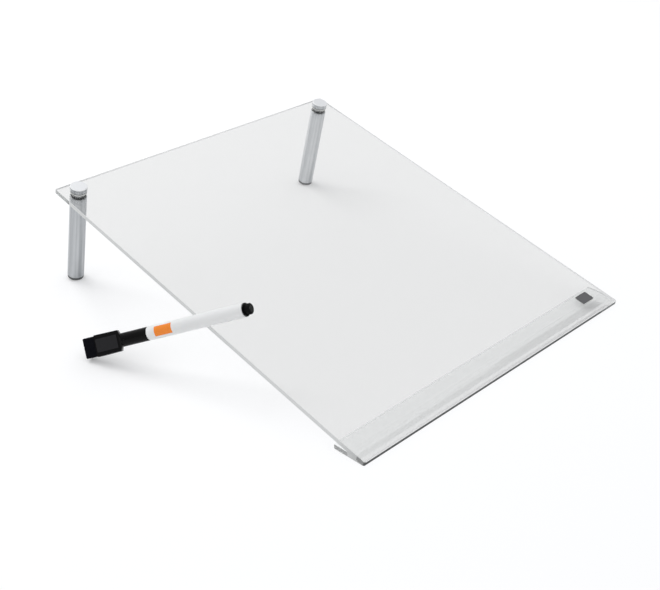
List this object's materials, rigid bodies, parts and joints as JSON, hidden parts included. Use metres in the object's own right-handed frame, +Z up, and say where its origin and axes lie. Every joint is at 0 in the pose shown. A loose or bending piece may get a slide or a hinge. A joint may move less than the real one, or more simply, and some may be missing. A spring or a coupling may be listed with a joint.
{
  "type": "acrylic desktop memo board",
  "caption": "Sloped clear acrylic memo board on a foot strip and two stand-off legs, with a dry-wipe marker leaning on its edge.",
  "frame": {"origin": "middle of the foot strip's underside, on the desk", "axes": "+X along the front edge to the right, +Y to the back where the board is high, +Z up"},
  "size_m": [0.2965, 0.3009, 0.0783],
  "materials": {
    "clear_acrylic": "clear cast acrylic sheet with polished edges",
    "badge_grey": "bare dark grey plate, satin",
    "satin_aluminium": "turned and satin anodised",
    "zinc_steel": "zinc plated",
    "black_nylon": "moulded black nylon",
    "clear_nylon": "milky clear nylon",
    "black_rubber": "matt",
    "black_plastic": "moulded black polypropylene, half gloss",
    "white_plastic": "moulded white polypropylene, half gloss",
    "seal_plastic": "natural polyethylene",
    "ferrite": "flat dark grey ferrite",
    "eraser_wool": "pressed blue-black wool felt",
    "ink_fibre": "ink-soaked fibre rod",
    "nib_fibre": "bonded fibre, ground to a bullet tip"
  },
  "bodies": {
    "board": {"memo_panel": "clear_acrylic", "foot_strip": "clear_acrylic", "badge_plate": "badge_grey", "left_leg_barrel": "satin_aluminium", "right_leg_barrel": "satin_aluminium", "left_rubber_foot": "black_rubber", "right_rubber_foot": "black_rubber", "left_under_washer": "black_nylon", "right_under_washer": "black_nylon"},
    "left_washer": {"left_cap_washer": "clear_nylon"},
    "left_cap": {"left_leg_cap": "satin_aluminium", "left_screw_stud": "zinc_steel"},
    "right_washer": {"right_cap_washer": "clear_nylon"},
    "right_cap": {"right_leg_cap": "satin_aluminium", "right_screw_stud": "zinc_steel"},
    "pen_cap": {"marker_cap": "black_plastic", "eraser_felt": "eraser_wool", "cap_magnet": "ferrite", "cap_seal": "seal_plastic"},
    "pen": {"marker_barrel": "white_plastic", "nib_holder": "seal_plastic", "marker_nib": "nib_fibre", "ink_reservoir": "ink_fibre", "end_plug": "black_plastic"}
  },
  "joints": [
    {"name": "left_cap_turn", "type": "hinge", "parent": "board", "child": "left_washer", "pos_m": [-0.1135, 0.2663, 0.06926], "axis": [0, -0.2419, 0.9703], "range_deg": [0, 2880]},
    {"name": "left_cap_lift", "type": "slide", "parent": "left_washer", "child": "left_cap", "axis": [0, -0.2419, 0.9703], "range_m": [0, 0.008]},
    {"name": "right_cap_turn", "type": "hinge", "parent": "board", "child": "right_washer", "pos_m": [0.1135, 0.2663, 0.06926], "axis": [0, -0.2419, 0.9703], "range_deg": [0, 2880]},
    {"name": "right_cap_lift", "type": "slide", "parent": "right_washer", "child": "right_cap", "axis": [0, -0.2419, 0.9703], "range_m": [0, 0.008]},
    {"name": "marker_lift", "type": "slide", "parent": "board", "child": "pen_cap", "axis": [0, 0, 1], "range_m": [0, 0.12]},
    {"name": "marker_pull", "type": "slide", "parent": "pen_cap", "child": "pen", "axis": [0.4586, -0.8007, 0.3854], "range_m": [0, 0.045]}
  ],
  "couplings": [
    {"joint": "left_cap_turn", "follows": "left_cap_lift", "rad_per_m": 6283.2},
    {"joint": "right_cap_turn", "follows": "right_cap_lift", "rad_per_m": 6283.2}
  ]
}
